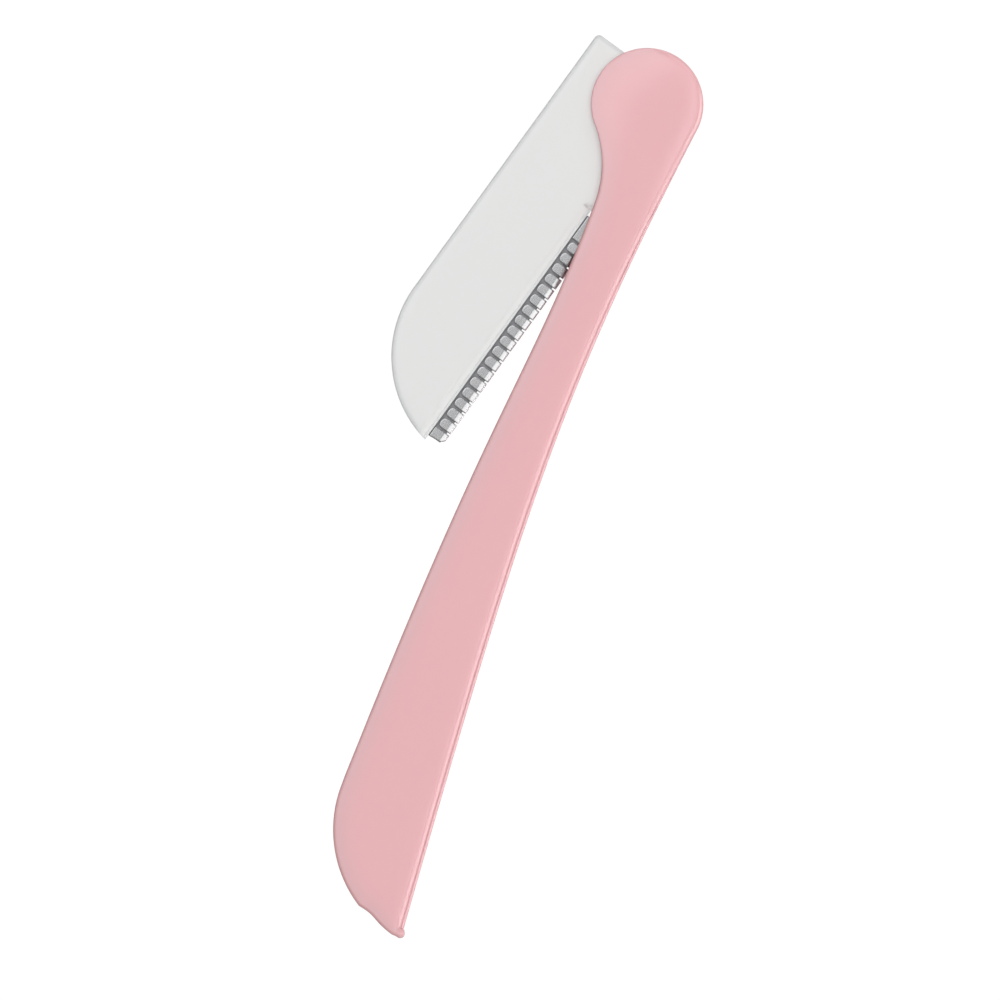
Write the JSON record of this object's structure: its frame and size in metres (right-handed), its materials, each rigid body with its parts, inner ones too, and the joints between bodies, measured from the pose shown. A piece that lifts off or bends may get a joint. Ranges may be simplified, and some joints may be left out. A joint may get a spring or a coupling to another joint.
{
  "type": "eyebrow razor",
  "caption": "Folding eyebrow razor: a slim hollow plastic handle and a pivoting white blade holder whose short straight edge sits behind a folded, slotted steel guard.",
  "frame": {"origin": "on the pivot axis, at the flat back face of the handle", "axes": "+Z points out of the pictured front face, +Y from the handle's tip towards its round pivot end, +X to the spine side"},
  "size_m": [0.0317, 0.1246, 0.006],
  "materials": {
    "pink_plastic": "smooth moulded ABS, pale pink, satin gloss",
    "white_plastic": "smooth moulded ABS, white, satin gloss",
    "guard_steel": "polished stainless sheet",
    "blade_steel": "ground stainless blade steel",
    "pin_steel": "plain turned steel",
    "nylon": "natural nylon"
  },
  "bodies": {
    "handle": {"handle_back_shell": "pink_plastic", "handle_front_shell": "pink_plastic", "pivot_pin": "pin_steel", "friction_washers": "nylon"},
    "blade_head": {"holder_back_half": "white_plastic", "holder_front_half": "white_plastic", "blade": "blade_steel", "blade_guard": "guard_steel"}
  },
  "joints": [
    {"name": "fold", "type": "hinge", "parent": "handle", "child": "blade_head", "pos_m": [0, 0, 0.003], "axis": [0, 0, -1], "range_deg": [-12, 160.5]}
  ]
}
